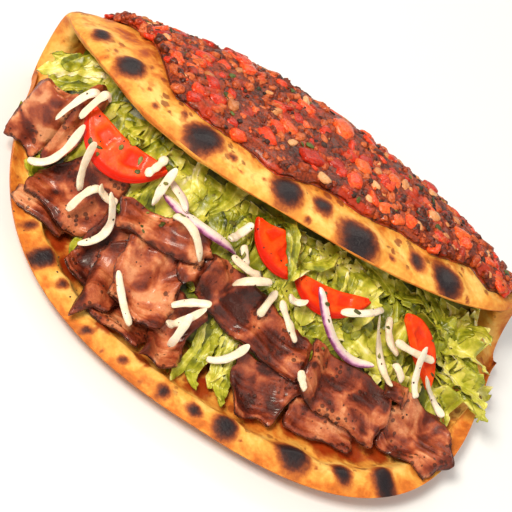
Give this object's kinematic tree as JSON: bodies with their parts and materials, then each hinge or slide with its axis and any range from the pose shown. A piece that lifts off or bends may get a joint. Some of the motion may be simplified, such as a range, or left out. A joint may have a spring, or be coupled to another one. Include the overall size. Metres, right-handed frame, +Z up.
{
  "type": "lahmacun wrap",
  "caption": "Round flatbread with a minced meat topping, folded over shredded lettuce, shaved meat, tomato, onion and cheese, with charred blisters along its rim.",
  "frame": {"origin": "middle of the base of the bounding box, on the surface the wrap lies on", "axes": "+X along the fold, to the right as seen from the open lip; the lip faces -Y and the back of the fold faces +Y; +Z up"},
  "size_m": [0.267, 0.1782, 0.076],
  "materials": {
    "bread": "golden baked dough with dark brown char spots",
    "topping": "browned minced meat with red pepper and tomato dice, slightly oily",
    "lettuce": "fresh shredded leaf, thin and slightly waxy",
    "meat": "shaved roast meat with browned edges, moist",
    "tomato": "wet cut tomato with a glossy skin",
    "onion": "translucent white onion with a purple edge",
    "cheese": "soft off-white shredded cheese"
  },
  "bodies": {
    "root": {"bread": "bread", "cheese_01": "cheese", "cheese_02": "cheese", "cheese_03": "cheese", "cheese_04": "cheese", "cheese_05": "cheese", "cheese_06": "cheese", "cheese_07": "cheese", "cheese_08": "cheese", "cheese_09": "cheese", "cheese_10": "cheese", "cheese_11": "cheese", "cheese_12": "cheese", "cheese_13": "cheese", "cheese_14": "cheese", "cheese_15": "cheese", "cheese_16": "cheese", "cheese_17": "cheese", "cheese_18": "cheese", "cheese_19": "cheese", "cheese_20": "cheese", "cheese_21": "cheese", "cheese_22": "cheese", "cheese_23": "cheese", "cheese_24": "cheese", "cheese_25": "cheese", "cheese_26": "cheese", "cheese_27": "cheese", "cheese_28": "cheese", "cheese_29": "cheese", "cheese_30": "cheese", "lettuce": "lettuce", "meat_centre": "meat", "meat_centre_left": "meat", "meat_front_fan": "meat", "meat_front_left": "meat", "meat_front_mid": "meat", "meat_front_slant": "meat", "meat_front_tip": "meat", "meat_left_curl": "meat", "meat_left_fold": "meat", "meat_left_mid": "meat", "meat_left_tip": "meat", "meat_lower_right": "meat", "meat_right": "meat", "meat_right_end": "meat", "meat_small_top": "meat", "meat_top_left": "meat", "meat_top_right": "meat", "onion_left": "onion", "onion_left_back": "onion", "onion_right": "onion", "tomato_left": "tomato", "tomato_mid_left": "tomato", "tomato_mid_right": "tomato", "tomato_right": "tomato", "topping": "topping"}
  },
  "joints": []
}
